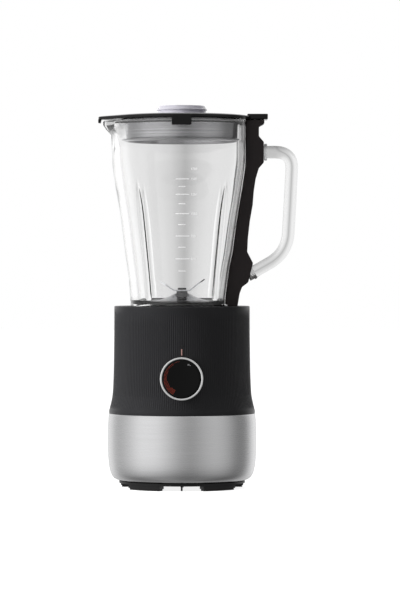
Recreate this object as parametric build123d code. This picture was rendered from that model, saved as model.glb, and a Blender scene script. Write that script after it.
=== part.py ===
"""Countertop blender: ribbed motor base with a steel band, thick glass jug, screw-in blade unit and lid.

Millimetres, +Z up. The origin is the centre of the base on the surface that it stands on.
The speed knob faces -Y, the jug's handle points to +X and its spout to -X.
"""
import math
import os

from build123d import *

# ---- driving dimensions -------------------------------------------------------------------------
TOTAL_HEIGHT = 430.5
PLATE_BOTTOM = 5.7
BAND_BOTTOM = 9.0
SEAM = 84.0
HOUSING_TOP = 205.0
HOUSING_TOP_R = 76.4
BAND_R = 83.8
BAND_WALL = 1.6
HOUSING_WALL = 3.0

# recess in the top of the housing, which takes the jug's foot
RECESS_R = 68.0
RECESS_FLOOR = 193.0
WELL_R = 51.5
WELL_FLOOR = 176.0
DECK = 3.0
SHAFT_HOLE_R = 12.0

# screw posts between the housing and the base plate
POST_R = 54.0
POST_AZIMUTHS = (30, 150, 210, 330)
POST_BOTTOM = 12.0
POST_TOP = 110.0
POST_SIZE = 4.5

# rubber-soled legs under the base plate: first and last azimuth of each
LEGS = ((211.5, 249.8), (290.2, 328.5), (8, 48), (132, 172))
LEG_IN = 58.0
LEG_OUT = 70.0
SOLE = 2.0
PEG_R = 1.8

# motor
MOTOR_SHAFT_R = 4.0
MOTOR_SHAFT_BOTTOM = 27.0
CORE_BOTTOM = 75.0
CORE_TOP = 115.0
ARMATURE_R = 22.0
STATOR_BORE = 22.6
STATOR_R = 40.0
STANDOFF_R = 34.0
LOWER_BEARING = 44.0
UPPER_BEARING = 128.0
BEARING_H = 7.0
BEARING_R = 9.5
COMMUTATOR_R = 10.5
ARM_R = 56.0
ARM_AZIMUTHS = (45, 135, 225, 315)

# knob
KNOB_Z = 125.8
KNOB_R = 23.8
KNOB_RING = 2.3
KNOB_SEAT = -80.2
KNOB_FACE = -94.5
KNOB_SHAFT_R = 3.0

# jug
RIM = 413.5
NECK_R = 36.5
NECK_BOTTOM = 197.0
NECK_OUTER = 41.0
FOOT_R = 58.0
FOOT_TOP = 216.0
FOOT_STEP = 205.0
LUG_BOTTOM = 195.0
LUG_IN = 51.0
LUG_AZIMUTHS = (45, 135, 225, 315)
JUG_FLOOR = 211.0
MOUTH_R = 70.0
BODY_R = 78.8
FLAT_GLASS = 5.5
FLUTE_AZIMUTHS = (54, 126, 234, 306)
RIDGE_R = 6.0
RIDGE_HEIGHT = 1.6
FLUTE_BEND = 335.0
FLUTE_TIP = 357.0
SPOUT_TIP = -89.0

# line of the inner wall that the ridges follow
RIDGE_LINE = ((45.9, 200.0), (64.9, FLUTE_BEND), (74.9, FLUTE_TIP))

# handle and the interlock strip behind it
HANDLE_THICK = 7.1
HANDLE_WIDE = 8.6
STRIP_HALF = 15.0
CLEAR = 0.3
ROD_R = 1.4
ROD_Y = -11.0
ROD_BOTTOM = (58.2, ROD_Y, 195.8)
ROD_TOP = (80.4, ROD_Y, 414.6)

# lid and measuring cap
LID_UNDER = 415.0
LID_R = 79.0
LID_TOP = 420.5
CAP_R = 27.0
CAP_HOLE = 27.8
CAP_FLANGE_R = 30.0
CAP_LIP_R = 28.3
CAP_LIP = 425.2
CAP_TOP_R = 25.6
TAB_HALF = 10.9
TAB_BOTTOM = 406.0

# blades
DOME_R = 26.0
BLADE_SHAFT_R = 4.0

# cord inlet
INLET_Z = 25.0
INLET_BORE = 3.6


# ---- helpers ------------------------------------------------------------------------------------
def turned(*points):
    """A solid turned about Z from (radius, height) corners."""
    return revolve(Plane.XZ * make_face(Polyline(*points, close=True)), Axis.Z)


def turned_curves(*edges):
    """A solid turned about Z from (radius, height) curves that close on themselves."""
    return revolve(Plane.XZ * make_face(Curve() + list(edges)), Axis.Z)


def disc(radius, bottom, top):
    return Pos(0, 0, (bottom + top) / 2) * Cylinder(radius, top - bottom)


def ring(outer, inner, bottom, top):
    return disc(outer, bottom, top) - disc(inner, bottom, top)


def block(x0, x1, y0, y1, z0, z1):
    size = (x1 - x0, y1 - y0, z1 - z0)
    return Pos((x0 + x1) / 2, (y0 + y1) / 2, (z0 + z1) / 2) * Box(*size)


def at(azimuth, radius=0.0, height=0.0):
    """The place at an azimuth and a radius, turned to face outwards."""
    return Rot(0, 0, azimuth) * Pos(radius, 0, height)


def sector(outer, inner, bottom, top, first, last):
    """Part of a ring between two azimuths."""
    reach = outer * 2
    middle = (first + last) / 2
    corners = [(0, 0)]
    for azimuth in (first, middle, last):
        angle = math.radians(azimuth)
        corners.append((reach * math.cos(angle), reach * math.sin(angle)))
    wedge = extrude(Pos(0, 0, bottom) * make_face(Polyline(*corners, close=True)), top - bottom)
    return ring(outer, inner, bottom, top) & wedge


def bar(start, end, radius):
    """A round bar between two points."""
    start = Vector(*start)
    end = Vector(*end)
    plane = Plane(origin=(start + end) / 2, z_dir=end - start)
    return plane * Cylinder(radius, (end - start).length)


def along_y(radius, near, far, x=0.0, z=KNOB_Z):
    """A cylinder along Y from y=near to y=far."""
    return Pos(x, (near + far) / 2, z) * Rot(90, 0, 0) * Cylinder(radius, abs(far - near))


def profile_prism(points, y0, y1):
    """An outline in the XZ plane made solid from y0 to y1."""
    face = Plane.XZ * make_face(Polyline(*points, close=True))
    return Pos(0, y0, 0) * extrude(face, y1 - y0, dir=(0, 1, 0))


def save(shape, name):
    export_step(shape, f"parts/{name}.step")


# ---- motor base: shells -------------------------------------------------------------------------
BAND_OUTLINE = [(69.0, 9.0), (75.7, 10.8), (79.4, 15.0), (82.2, 24.0), (BAND_R, 42.0), (BAND_R, 68.0),
                (82.6, SEAM)]
HOUSING_OUTLINE = [(82.4, SEAM + 0.2), (81.7, 90.0), (79.6, 99.0), (77.9, 112.0), (77.0, 145.0),
                   (HOUSING_TOP_R, HOUSING_TOP - 2)]


def steel_band():
    outer = Spline(*BAND_OUTLINE)
    inner_points = [(BAND_OUTLINE[0][0] - 3, BAND_OUTLINE[0][1] + BAND_WALL)]
    inner_points += [(r - BAND_WALL, z + BAND_WALL) for r, z in BAND_OUTLINE[1:3]]
    inner_points += [(r - BAND_WALL, z) for r, z in BAND_OUTLINE[3:]]
    inner = Spline(*inner_points)
    lip = Line(BAND_OUTLINE[0], (BAND_OUTLINE[0][0] - 3, BAND_OUTLINE[0][1]))
    lip_end = Line((BAND_OUTLINE[0][0] - 3, BAND_OUTLINE[0][1]), inner_points[0])
    top = Line(BAND_OUTLINE[-1], inner_points[-1])
    band = turned_curves(outer, top, inner, lip_end, lip)
    return band - along_y(7.2, 60, 100, z=INLET_Z)


def motor_housing():
    """Outer wall with the recess, its well, the knob's seat and the screw posts."""
    outer = Spline(*HOUSING_OUTLINE)
    wall_points = [(r - HOUSING_WALL, z) for r, z in HOUSING_OUTLINE]
    inner = Spline(*wall_points[:-1], (HOUSING_TOP_R - HOUSING_WALL, RECESS_FLOOR - DECK))
    shoulder = Line(HOUSING_OUTLINE[-1], (HOUSING_TOP_R - 2, HOUSING_TOP))
    floor_under = RECESS_FLOOR - DECK
    well_out = WELL_R + DECK
    rest = Polyline(
        (HOUSING_TOP_R - 2, HOUSING_TOP), (RECESS_R, HOUSING_TOP), (RECESS_R, RECESS_FLOOR),
        (WELL_R, RECESS_FLOOR), (WELL_R, WELL_FLOOR), (SHAFT_HOLE_R, WELL_FLOOR),
        (SHAFT_HOLE_R, WELL_FLOOR - DECK), (well_out, WELL_FLOOR - DECK), (well_out, floor_under),
        (HOUSING_TOP_R - HOUSING_WALL, floor_under))
    seam = Line(wall_points[0], HOUSING_OUTLINE[0])
    housing = turned_curves(outer, shoulder, rest, inner, seam)
    seat = along_y(KNOB_R + 1.2, KNOB_SEAT + 0.8, -70) - disc(73.0, 80, 180)
    housing += seat
    for azimuth in POST_AZIMUTHS:
        housing += at(azimuth, POST_R) * disc(POST_SIZE, POST_BOTTOM, POST_TOP)
        housing += Rot(0, 0, azimuth) * block(POST_R + 4, 76.0, -1.5, 1.5, 96, POST_TOP)
        housing -= at(azimuth, POST_R) * disc(1.9, POST_BOTTOM - 1, 32)
    for azimuth in ARM_AZIMUTHS:
        housing += at(azimuth, ARM_R) * disc(5.0, 141, floor_under + 1)
        housing += Rot(0, 0, azimuth) * block(ARM_R + 3, 75.0, -1.5, 1.5, 150, floor_under + 1)
        housing -= at(azimuth, ARM_R) * disc(1.9, 140, 158)
    for azimuth in LUG_AZIMUTHS:
        # a stop beside each lug of the jug's foot keeps the jug from turning
        housing += Rot(0, 0, azimuth - 20) * block(53.5, 66, -1.2, 1.2, RECESS_FLOOR - 1, RECESS_FLOOR + 5)
    housing -= along_y(KNOB_SHAFT_R + 0.6, -60, -90)
    housing -= Pos(ROD_BOTTOM[0], ROD_Y, 0) * disc(3.0, RECESS_FLOOR - 5, RECESS_FLOOR + 1)
    housing -= disc(WELL_R, WELL_FLOOR, RECESS_FLOOR + 1)
    housing -= pointer_outline(0.15)
    return housing


def pointer_outline(grow=0.0):
    """Where the speed pointer and the small lamp above it show on the front of the housing."""
    line = block(-0.6 - grow, 0.6 + grow, -78.2, -72, 151.3 - grow, 158.1 + grow)
    lamp = along_y(1.1 + grow, -72, -78.2, z=161.4)
    return line + lamp


def pointer_window():
    """Light pipe behind the housing wall that shows as a line and a dot at the front."""
    carrier = block(-5, 5, -72.6, -70.4, 148, 165)
    window = pointer_outline() & disc(77.35, 140, 170)
    return window + carrier


def base_plate():
    plate = disc(71.0, PLATE_BOTTOM, BAND_BOTTOM - 0.6) + disc(65.5, PLATE_BOTTOM, BAND_BOTTOM)
    plate += ring(65.5, 62.0, BAND_BOTTOM, 12.5)
    for first, last in LEGS:
        plate += sector(LEG_OUT, LEG_IN, SOLE, PLATE_BOTTOM, first, last)
    plate += block(-1.0, 1.0, -69, -44, 0.6, PLATE_BOTTOM) + disc(PEG_R, SOLE, PLATE_BOTTOM)
    for azimuth in POST_AZIMUTHS:
        plate += at(azimuth, POST_R) * disc(5.5, BAND_BOTTOM, POST_BOTTOM)
        plate -= at(azimuth, POST_R) * disc(4.2, PLATE_BOTTOM - 1, BAND_BOTTOM - 0.4)
        plate -= at(azimuth, POST_R) * disc(2.0, PLATE_BOTTOM - 1, POST_BOTTOM + 1)
    for step in range(18):
        plate -= Rot(0, 0, step * 20) * block(18, 42, -1.6, 1.6, PLATE_BOTTOM - 1, BAND_BOTTOM + 1)
    return plate


def rubber_feet():
    """Soles of the four legs, and the tip of the peg in the middle."""
    feet = [sector(LEG_OUT - 1, LEG_IN + 1, 0, SOLE, first + 1, last - 1) for first, last in LEGS]
    return Compound(children=[*feet, disc(PEG_R, 0, SOLE)])


def screws(places, head_bottom, head_top, end, head_r, shank_r):
    """Pan-head screws that point up, one at each place."""
    pieces = []
    for place in places:
        screw = disc(head_r, head_bottom, head_top) + disc(shank_r, head_top, end)
        slot = block(-head_r * 0.55, head_r * 0.55, -0.5, 0.5, head_bottom - 1, head_bottom + 0.9)
        pieces.append(place * (screw - slot - Rot(0, 0, 90) * slot))
    return Compound(children=pieces)


def cord_grommet():
    """Rubber inlet for the supply cord, in the back of the steel band."""
    grommet = along_y(7.0, 74, 85.5, z=INLET_Z)
    grommet += along_y(9.5, 84.4, 87.5, z=INLET_Z)
    grommet += along_y(9.5, 73.5, 76.4, z=INLET_Z)
    return grommet - along_y(INLET_BORE, 70, 90, z=INLET_Z)


# ---- motor --------------------------------------------------------------------------------------
def motor_stator():
    stack = disc(STATOR_R, CORE_BOTTOM, CORE_TOP) & block(-34, 34, -40, 40, CORE_BOTTOM, CORE_TOP)
    stack -= disc(STATOR_BORE, CORE_BOTTOM - 1, CORE_TOP + 1)
    for sign in (-1, 1):
        stack -= block(sign * 26 - 5, sign * 26 + 5, -14, 14, CORE_BOTTOM - 1, CORE_TOP + 1)
    return stack


def field_coils():
    """Two wound coils, one on each pole of the stator, through its two slots."""
    coils = []
    for sign in (-1, 1):
        outside = block(-31, 31, 4, 26, CORE_BOTTOM - 8, CORE_TOP + 8)
        hole = block(-21, 21, 3, 31, CORE_BOTTOM, CORE_TOP)
        coil = (outside - hole) & ring(37, 24, CORE_BOTTOM - 8, CORE_TOP + 8)
        coil = coil - block(-40, 40, 14, 40, CORE_BOTTOM, CORE_TOP)
        coils.append(coil if sign > 0 else mirror(coil, Plane.XZ))
    return Compound(children=coils)


def motor_bracket(plate_bottom, bearing_bottom, standoff_bottom, standoff_top):
    """End bracket of the motor: plate, bearing hub and stand-offs to the stator."""
    bracket = ring(STATOR_R, BEARING_R + 3, plate_bottom, plate_bottom + 3)
    bracket += ring(BEARING_R + 3.5, BEARING_R + 0.02, bearing_bottom, bearing_bottom + BEARING_H)
    for azimuth in (62, 118, 242, 298):
        bracket += at(azimuth, STANDOFF_R) * disc(3.0, standoff_bottom, standoff_top)
    for azimuth in (0, 90, 180, 270):
        bracket -= at(azimuth, 25) * disc(6.5, plate_bottom - 1, plate_bottom + 4)
    return bracket


def upper_bracket():
    bracket = motor_bracket(UPPER_BEARING + 2, UPPER_BEARING, CORE_TOP, UPPER_BEARING + 2)
    for azimuth in ARM_AZIMUTHS:
        bracket += Rot(0, 0, azimuth) * block(36, ARM_R, -6, 6, UPPER_BEARING + 2, UPPER_BEARING + 5)
        bracket += at(azimuth, ARM_R) * disc(7.5, UPPER_BEARING + 2, UPPER_BEARING + 5)
        bracket -= at(azimuth, ARM_R) * disc(4.6, UPPER_BEARING, UPPER_BEARING + 6)
    return bracket


def bearing(bottom):
    race = ring(BEARING_R, MOTOR_SHAFT_R + 0.03, bottom, bottom + BEARING_H)
    for end in (bottom, bottom + BEARING_H):
        race -= ring(BEARING_R - 1.6, MOTOR_SHAFT_R + 1.6, end - 0.5, end + 0.5)
    return race


def brush_holders():
    pieces = []
    for turn in (0, 180):
        holder = block(13, 31, -4.2, 4.2, 51, 64) - block(12, 29, -2.7, 2.7, 55, 62)
        pieces.append(Rot(0, 0, turn) * holder)
    return Compound(children=pieces)


def carbon_brushes():
    brush = block(COMMUTATOR_R + 0.2, 26, -2.5, 2.5, 55.2, 61.8)
    return Compound(children=[Rot(0, 0, turn) * brush for turn in (0, 180)])


def motor_isolators():
    """Rubber bushes in the four arms, so that the motor doesn't touch the housing."""
    bottom = UPPER_BEARING - 1
    pieces = []
    for azimuth in ARM_AZIMUTHS:
        bush = disc(4.5, bottom, 141) + disc(7.0, bottom, UPPER_BEARING + 2) + disc(7.0, UPPER_BEARING + 5, 141)
        pieces.append(at(azimuth, ARM_R) * (bush - disc(1.9, bottom - 1, 142)))
    return Compound(children=pieces)


def armature_core():
    core = disc(ARMATURE_R, CORE_BOTTOM, CORE_TOP) - disc(MOTOR_SHAFT_R, CORE_BOTTOM - 1, CORE_TOP + 1)
    for step in range(12):
        core -= at(step * 30, ARMATURE_R - 5) * disc(2.6, CORE_BOTTOM - 1, CORE_TOP + 1)
        mouth = block(ARMATURE_R - 5, ARMATURE_R + 1, -0.8, 0.8, CORE_BOTTOM - 1, CORE_TOP + 1)
        core -= Rot(0, 0, step * 30) * mouth
    return core


def armature_windings():
    """End turns at each end of the core, joined by the wires in its slots."""
    winding = turned((7, 66), (18, 66), (20.5, 70), (20.5, CORE_BOTTOM), (7, CORE_BOTTOM))
    winding += turned((7, CORE_TOP), (20.5, CORE_TOP), (20.5, 120), (18, 123.5), (7, 123.5))
    for step in range(12):
        winding += at(step * 30, ARMATURE_R - 5) * disc(2.5, CORE_BOTTOM, CORE_TOP)
    return winding


def commutator():
    drum = ring(COMMUTATOR_R, MOTOR_SHAFT_R, 53, 65)
    drum += ring(COMMUTATOR_R + 1.5, MOTOR_SHAFT_R, 64, 66)
    for step in range(24):
        drum -= Rot(0, 0, step * 15) * block(COMMUTATOR_R - 1.2, COMMUTATOR_R + 0.1, -0.2, 0.2, 52, 64)
    return drum


def cooling_fan():
    fan = ring(9, MOTOR_SHAFT_R, 28, 38) + ring(31, 8, 36.5, 38)
    for step in range(14):
        vane = Pos(19.5, 0, 32.3) * Rot(0, 0, 24) * Box(22, 1.2, 8.6)
        fan += Rot(0, 0, step * 360 / 14) * vane
    return fan


def star(radius, bottom, top, teeth=6, tooth=2.6):
    """Splined drive star."""
    shape = disc(radius - 2.4, bottom, top)
    for step in range(teeth):
        shape += Rot(0, 0, step * 360 / teeth) * block(0, radius, -tooth, tooth, bottom, top)
    return shape


def drive_coupling():
    """Cup on the motor shaft with a splined socket for the jug's star."""
    cup = disc(16, 178, 189) + disc(9, 176.5, 179)
    cup -= star(11.6, 181, 190, tooth=3.1)
    return cup - disc(MOTOR_SHAFT_R, 170, 180)


# ---- electrical parts ---------------------------------------------------------------------------
def control_board():
    board = block(-35, 35, 51.2, 52.8, 60, 115)
    for x in (-28, -14):
        board += Pos(x, 54.8, 74) * Box(9, 4, 14)
    board += block(4, 26, 52.8, 60, 84, 110)
    return board


def terminal_block():
    body = block(-14, 14, 46, 60, BAND_BOTTOM, 22)
    for x in (-8, 0, 8):
        body -= Pos(x, 53, 0) * disc(2.2, 14, 23)
        body -= along_y(2.0, 55, 62, x=x, z=13)
    return body


def suppression_capacitor():
    body = block(-36, -18, 38, 50, BAND_BOTTOM, 30)
    return fillet(body.edges().filter_by(Axis.Z), 2)


def speed_encoder():
    """Rotary switch behind the knob, with its bracket to the housing's seat."""
    body = along_y(11, -52, -63) + block(-13, 13, -66, -63, KNOB_Z - 14, KNOB_Z + 14)
    return body - along_y(KNOB_SHAFT_R + 0.05, -55, -70)


def interlock_switch():
    body = block(ROD_BOTTOM[0] - 2.8, ROD_BOTTOM[0] + 8, ROD_Y - 4, ROD_Y + 4, 163, 176.6)
    body += block(ROD_BOTTOM[0] - 2, ROD_BOTTOM[0] + 2, ROD_Y - 1.5, ROD_Y + 1.5, 176.6, 177.6)
    body += block(ROD_BOTTOM[0], 74.2, ROD_Y - 1, ROD_Y + 1, 164, 170)
    return body & disc(73.2, 150, 180)


def coil_spring(center, radius, wire, bottom, top, turns):
    """Helical spring with its ends at two heights."""
    length = top - bottom - 2 * wire
    path = Pos(*center, bottom + wire) * Helix(length / turns, length, radius)
    section = Plane(origin=path @ 0, z_dir=path % 0) * Circle(wire)
    return sweep(section, path)


def plunger_spring():
    return coil_spring((ROD_BOTTOM[0], ROD_Y), 2.4, 0.35, 177.8, 185.4, 5)


def interlock_plunger():
    pin = disc(2.6, 186, 195.5) + disc(3.7, 185.5, 186.8) + disc(1.6, 180.6, 186)
    return Pos(ROD_BOTTOM[0], ROD_Y, 0) * pin


# ---- knob ---------------------------------------------------------------------------------------
def knob_cap():
    cap = along_y(KNOB_R - KNOB_RING - 0.1, KNOB_SEAT - 1.4, KNOB_FACE)
    return cap - along_y(KNOB_SHAFT_R, KNOB_SEAT, KNOB_FACE + 5)


def knob_ring():
    outer = along_y(KNOB_R, KNOB_SEAT, KNOB_FACE - 0.4) - along_y(KNOB_R - KNOB_RING, -70, -100)
    outer += along_y(KNOB_R - 0.6, KNOB_SEAT, KNOB_SEAT - 1.3) - along_y(KNOB_SHAFT_R + 1, -70, -100)
    return outer


def knob_shaft():
    return along_y(KNOB_SHAFT_R, -55.5, KNOB_FACE + 5.1)


# ---- jug ----------------------------------------------------------------------------------------
WALL_OUT = [(58.6, FOOT_TOP), (59.4, 226), (60.6, 240), (65.2, 272), (70.2, 312), (75.4, 342), (78.2, 362),
            (BODY_R, 380)]
WALL_IN = [(48.8, 217), (50.2, 228), (52.3, 245), (56.2, 275), (60.2, 303), (63.4, 325), (66.0, 345), (69.2, 366),
           (MOUTH_R, 382)]
FLAT_LINE = [(48.0, 190), (48.0, 205), (48.6, 216), (53.2, 250), (56.7, 266), (61.2, 300), (64.4, 320),
             (67.9, 340), (71.2, 364), (71.2, 420)]


def flat_prism(inset):
    """Everything on the spout side of the flat that the interlock strip lies on."""
    line = [(x - inset, z) for x, z in FLAT_LINE]
    return profile_prism([(-120, 190), *line, (-120, 420)], -100, 100)


def spout_section(height, round_r, tip, tip_r):
    """Round outline drawn out to the spout's tip, at one height."""
    lip = Pos(tip + tip_r, 0) * Circle(tip_r)
    hull = make_hull((Circle(round_r) + lip).edges())
    return Pos(0, 0, height) * hull


def handle_path():
    """Centre line of the handle, from root to root."""
    return FilletPolyline((62, 0, 378.6), (125.3, 0, 378.6), (118.6, 0, 265), (49, 0, 225.1), radius=(26, 46))


def handle_solid(grow=0.0):
    path = handle_path()
    section = Plane(origin=path @ 0, z_dir=path % 0, x_dir=(0, 1, 0))
    return sweep(section * Ellipse(HANDLE_WIDE + grow, HANDLE_THICK + grow), path)


def handle_collars():
    """Rings at the two roots of the handle, just outside the strip."""
    upper = bar((92.6, 0, 378.6), (96.2, 0, 378.6), 9.6)
    lower = bar((77.9, 0, 243.2), (81.1, 0, 242.4), 9.8)
    return upper + lower


def flute(line, offset, radius):
    """A round ridge along a wall's (radius, height) line that leaves the wall at the line's last point."""
    low, bend, tip = [(r + offset, 0, z) for r, z in line]
    return bar(low, bend, radius) + Pos(*bend) * Sphere(radius) + bar(bend, tip, radius)


def jug_cavity():
    wall = Spline(*WALL_IN)
    floor = Polyline((NECK_R, JUG_FLOOR), (44.0, JUG_FLOOR), (47.6, 213.0), WALL_IN[0])
    rest = Polyline(WALL_IN[-1], (MOUTH_R, RIM + 2), (0, RIM + 2), (0, NECK_BOTTOM - 2),
                    (NECK_R, NECK_BOTTOM - 2), (NECK_R, JUG_FLOOR))
    cavity = turned_curves(floor, wall, rest) & flat_prism(FLAT_GLASS)
    ridge = flute(RIDGE_LINE, RIDGE_R - RIDGE_HEIGHT, RIDGE_R)
    for azimuth in FLUTE_AZIMUTHS:
        cavity -= Rot(0, 0, azimuth) * ridge
    cavity += loft([spout_section(392, 66, -69.5, 3), spout_section(RIM + 0.5, 66, SPOUT_TIP + 5, 7)])
    return cavity


def jug_glass():
    """Thick pressed glass with its foot, spout and handle in one piece."""
    wall = Spline(*WALL_OUT)
    rim = Polyline(WALL_OUT[-1], (BODY_R, RIM - 2), (BODY_R - 2, RIM), (0, RIM), (0, NECK_BOTTOM),
                   (NECK_OUTER, NECK_BOTTOM), (NECK_OUTER, FOOT_STEP), (FOOT_R, FOOT_STEP), WALL_OUT[0])
    body = turned_curves(wall, rim)
    body += loft([spout_section(395, 76, -BODY_R, 6), spout_section(RIM, 76, SPOUT_TIP, 11)])
    body = body & flat_prism(0)
    for azimuth in LUG_AZIMUTHS:
        body += sector(FOOT_R, LUG_IN, LUG_BOTTOM, FOOT_STEP, azimuth - 16, azimuth + 16)
    body += handle_solid() + handle_collars()
    return body - jug_cavity()


def jug_collar():
    """Plastic ring round the glass neck, with the groove that holds the blade unit's lugs."""
    collar = ring(50.5, NECK_OUTER + 0.1, 190.0, FOOT_STEP)
    collar -= disc(46.6, 189, 192)
    collar -= disc(48.6, 191.5, 196.4)
    collar -= disc(45.2, 191, 197)
    for azimuth in (30, 150, 270):
        # the blade unit's lugs pass in and out here once it is turned
        collar -= sector(48.6, 44, 189, 193, azimuth - 14, azimuth + 14)
    return collar


def seat_pads():
    """Rubber pads in the recess that the jug's four lugs stand on."""
    pads = [sector(60, 53.5, RECESS_FLOOR, LUG_BOTTOM, azimuth - 17, azimuth + 17) for azimuth in LUG_AZIMUTHS]
    return Compound(children=pads)


STRIP_OUTLINE = [
    (51.2, 196), (51.2, 206.4), (48.6, 206.4), (49.0, 216), (53.6, 250), (57.1, 266), (61.6, 300),
    (64.8, 320), (68.3, 340), (71.6, 364), (71.6, 413), (72.5, 414.6), (92.7, 414.6), (92.7, 410.4),
    (86.6, 407), (86.6, 396), (92.1, 389.7), (92.1, 366.6), (86.6, 360.4), (82.9, 348), (80.8, 334),
    (79.6, 319), (76.3, 300), (74.2, 281), (73.5, 266), (80.0, 253.4), (74.6, 231.7), (67.6, 226.4),
    (64.9, 219), (62.6, 205), (61.8, 196)]


def strip_screw_places():
    return [(83.3, 402.0), (77.0, 331.0), (71.6, 288.0), (54.2, 213.0)]


def strip_body():
    body = profile_prism(STRIP_OUTLINE, -STRIP_HALF, STRIP_HALF)
    edges = body.edges().filter_by(lambda e: e.center().Y > STRIP_HALF - 0.1 or e.center().Y < 0.1 - STRIP_HALF)
    outer = edges.filter_by(lambda e: e.center().X > 62.5 and e.length > 1 and e.center().Z < 412)
    body = chamfer(outer, 1.5)
    body -= handle_solid(CLEAR)
    body -= bar(rod_point(-12), rod_point(230), ROD_R + 0.4)
    return body - bar(rod_point(193), rod_point(206), 2.8)


def rod_point(distance):
    """The point that far up the interlock rod's line."""
    start = Vector(*ROD_BOTTOM)
    direction = (Vector(*ROD_TOP) - start).normalized()
    return start + direction * distance


def strip_half(front):
    body = strip_body()
    if front:
        body = body & block(0, 120, -20, -0.05, 180, 430)
    else:
        body = body & block(0, 120, 0.05, 20, 180, 430)
    for x, z in strip_screw_places():
        if front:
            body -= along_y(1.6, -8.6, 1, x=x, z=z)
        else:
            body -= along_y(1.6, -1, 20, x=x, z=z)
            body -= along_y(3.0, 12.2, 20, x=x, z=z)
    return body


def strip_screws():
    pieces = []
    for x, z in strip_screw_places():
        screw = along_y(2.8, 12.25, 14.2, x=x, z=z) + along_y(1.45, -8, 12.3, x=x, z=z)
        pieces.append(screw - along_y(1.0, 13.2, 15, x=x, z=z))
    return Compound(children=pieces)


def interlock_rod():
    length = (Vector(*ROD_TOP) - Vector(*ROD_BOTTOM)).length
    rod = bar(rod_point(0), rod_point(length), ROD_R)
    return rod + bar(rod_point(200.5), rod_point(202), 2.5)


def rod_spring():
    low = rod_point(193.3)
    high = rod_point(200.2)
    length = (high - low).length
    spring = Helix(length / 5, length, 2.1)
    section = Plane(origin=spring @ 0, z_dir=spring % 0) * Circle(0.25)
    plane = Plane(origin=low, z_dir=high - low)
    return plane * sweep(section, spring)


# ---- blade unit ---------------------------------------------------------------------------------
def blade_holder():
    """Plug that closes the jug's neck from below, with a flange and three bayonet lugs."""
    holder = turned((BLADE_SHAFT_R + 2.5, 190), (28, 190), (28, 191), (44.8, 191), (44.8, 196.6), (36.1, 196.6),
                    (36.1, 208), (BLADE_SHAFT_R + 2.5, 208))
    holder -= ring(40.8, 36.9, 195, 198)
    holder -= ring(33, 16, 189, 204)
    for azimuth in (0, 120, 240):
        holder += sector(47.9, 43, 192.2, 195.6, azimuth - 12, azimuth + 12)
        holder += Rot(0, 0, azimuth + 30) * block(15, 34, -1.5, 1.5, 191, 205)
    return holder


def blade_dome():
    """Steel cup over the plug, which carries the blades' bush."""
    dome = turned((BLADE_SHAFT_R + 2.5, 208), (35.4, 208), (35.4, 209.2), (DOME_R, 209.6), (DOME_R - 3, 211.2),
                  (16, 212.2), (11.5, 214.8), (9, 218.4), (BLADE_SHAFT_R + 2.5, 218.4))
    return dome


def blade_seal():
    return ring(40.6, 37.0, 195, NECK_BOTTOM)


def bearing_bush():
    return ring(BLADE_SHAFT_R + 2.5, BLADE_SHAFT_R + 0.04, 191, 218.4)


def blade_shaft():
    return disc(BLADE_SHAFT_R, 184, 222.6) - disc(1.5, 183, 186)


def blade_pair(tip_r, tip_z, root_z, azimuth, width):
    """Strip of steel across the shaft with two pointed wings bent up or down."""
    thickness = 1.5
    flat = block(-9.5, 9.5, -width / 2, width / 2, root_z, root_z + thickness)
    blade = flat
    for side, (radius, height) in zip((0, 180), zip(tip_r, tip_z)):
        rise = height - root_z
        run = radius - 9.0
        length = math.hypot(rise, run)
        outline = make_face(Polyline((0, -width / 2), (length * 0.72, -width / 2), (length, width * 0.1),
                                     (length * 0.6, width / 2), (0, width / 2), close=True))
        wing = extrude(outline, thickness)
        tilt = math.degrees(math.atan2(rise, run))
        blade += Rot(0, 0, side) * Pos(9.0, 0, root_z) * Rot(0, -tilt, 0) * wing
    blade -= disc(BLADE_SHAFT_R, root_z - 1, root_z + 4)
    return Rot(0, 0, azimuth) * blade


def blade_nut():
    nut = extrude(Pos(0, 0, 222.7) * RegularPolygon(5.4, 6), 3.4)
    return nut + disc(3.4, 226, 226.9)


def blade_washer():
    return ring(7.5, BLADE_SHAFT_R, 218.9, 219.5)


def driven_coupling():
    return star(11.0, 182, 189) - disc(BLADE_SHAFT_R, 183.9, 190)


# ---- lid ----------------------------------------------------------------------------------------
def lid_cover():
    cover = turned((CAP_HOLE, LID_UNDER), (LID_R - 1, LID_UNDER), (LID_R, LID_UNDER + 1), (LID_R, 418),
                   (76.5, 419.6), (60, LID_TOP), (CAP_HOLE, LID_TOP))
    spout = make_hull((Circle(60) + Pos(-83, 0) * Circle(11.4)).edges())
    cover += extrude(Pos(0, 0, LID_UNDER) * spout, 3.6) - disc(70, 410, 425)
    lip = profile_prism([(-94.4, 412), (-91.6, 411), (-90.6, 415.2), (-94.4, 415.2)], -8, 8)
    cover += lip & Pos(-83, 0, 0) * disc(11.4, 405, 420)
    cover += block(-TAB_HALF, TAB_HALF, -82.4, -79.3, TAB_BOTTOM, 418)
    cover += block(-TAB_HALF, TAB_HALF, -80, -74, LID_UNDER, 418)
    cover += block(72.9, 96.6, -16, 16, LID_UNDER, 421.4)
    return cover


def flatted(shape, x):
    """The shape with its handle side cut off flat, like the jug's."""
    return shape & block(-100, x, -100, 100, 300, 440)


def plug_outside():
    return flatted(turned((0, 390), (65.4, 390), (66.2, 411), (66.2, LID_UNDER), (0, LID_UNDER)), 63.2)


def lid_plug():
    """Clear cup under the cover that fills the jug's mouth."""
    inside = turned((0, 389), (63.6, 389), (64.2, 413), (0, 413))
    plug = plug_outside() - flatted(inside, 61.2) + ring(30, 28, 396, 414)
    return plug - disc(28, 380, 420)


def lid_seal():
    lips = flatted(disc(69.6, 408.4, 411), 65.4)
    band = flatted(disc(67.6, 404.5, 408.4), 64.4)
    return lips + band - plug_outside()


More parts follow.
